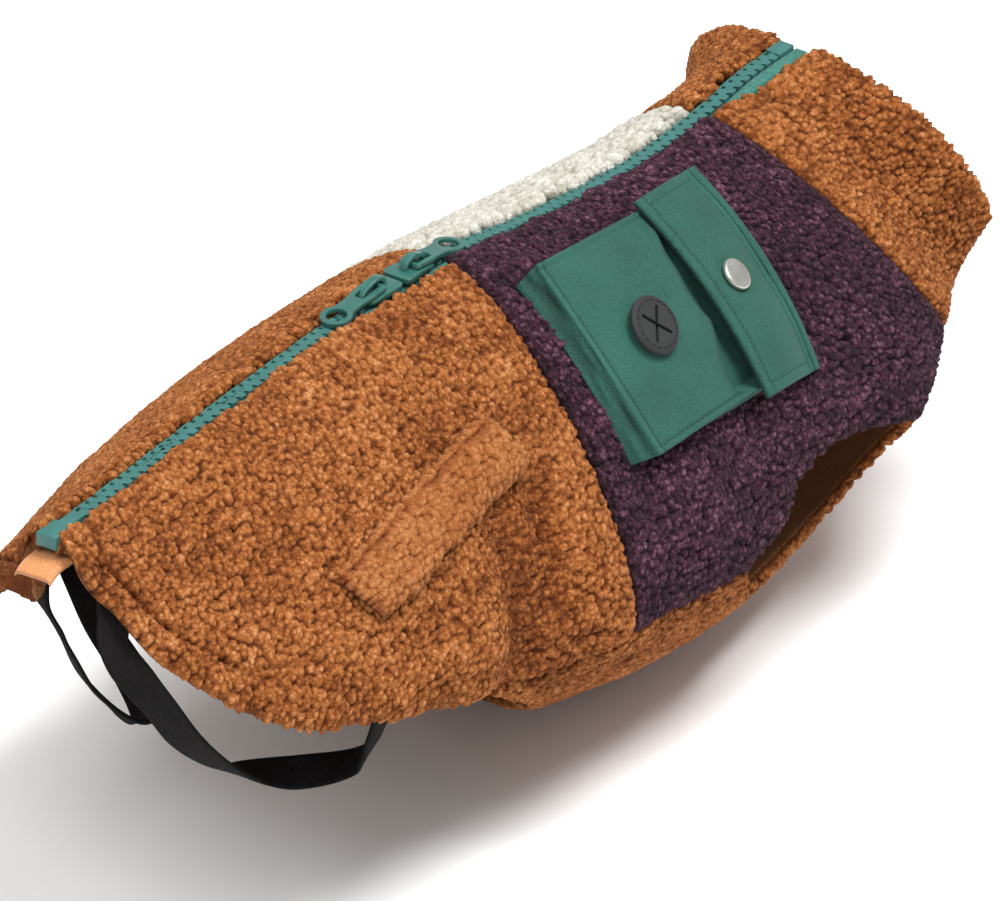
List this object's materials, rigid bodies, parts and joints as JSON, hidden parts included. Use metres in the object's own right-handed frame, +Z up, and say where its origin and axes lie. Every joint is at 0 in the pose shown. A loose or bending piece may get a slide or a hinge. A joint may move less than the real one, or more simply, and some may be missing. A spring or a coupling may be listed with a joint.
{
  "type": "dog sweatshirt",
  "caption": "Back-zip dog coat of curly fleece panels, hollow as worn, with a high collar, foreleg holes, a flapped pocket with a slit outlet, and hind-leg straps.",
  "frame": {"origin": "inner face of the back at the withers, on the zip line", "axes": "+X towards the head, +Y the wearer's left, +Z up"},
  "size_m": [0.3911, 0.1536, 0.1544],
  "materials": {
    "caramel_fleece": "matte",
    "plum_fleece": "matte",
    "cream_fleece": "matte",
    "green_nylon": "satin",
    "zip_tape": "matte",
    "zip_plastic": "satin",
    "painted_zinc": "satin",
    "orange_backing": "matte",
    "black_rubber": "matte",
    "snap_metal": "satin",
    "black_elastic": "matte"
  },
  "bodies": {
    "coat": {"rear_panel_right": "caramel_fleece", "rear_panel_left": "caramel_fleece", "shoulder_panel_right": "plum_fleece", "shoulder_panel_left": "cream_fleece", "belly_panel": "caramel_fleece", "collar": "caramel_fleece", "flank_welt": "caramel_fleece", "zip_tape_right": "zip_tape", "zip_tape_left": "zip_tape", "zip_chain_rear": "zip_plastic", "zip_chain_front": "zip_plastic", "zip_end_box": "zip_plastic", "zip_top_stop": "zip_plastic", "slider_rear": "painted_zinc", "slider_front": "painted_zinc", "zip_backing": "orange_backing", "pocket_body": "green_nylon", "pocket_flap": "green_nylon", "dispenser_grommet": "black_rubber", "snap_cap": "snap_metal", "leg_strap_right": "black_elastic", "leg_strap_left": "black_elastic"},
    "tab_rear": {"pull_tab_rear": "painted_zinc"},
    "tab_front": {"pull_tab_front": "painted_zinc"}
  },
  "joints": [
    {"name": "pull_tab_rear_hinge", "type": "hinge", "parent": "coat", "child": "tab_rear", "pos_m": [-0.02824, 0, 0.00645], "axis": [0, 1, 0], "range_deg": [0, 100]},
    {"name": "pull_tab_front_hinge", "type": "hinge", "parent": "coat", "child": "tab_front", "pos_m": [-0.01277, 0, 0.00647], "axis": [0, -1, 0], "range_deg": [0, 100]}
  ]
}
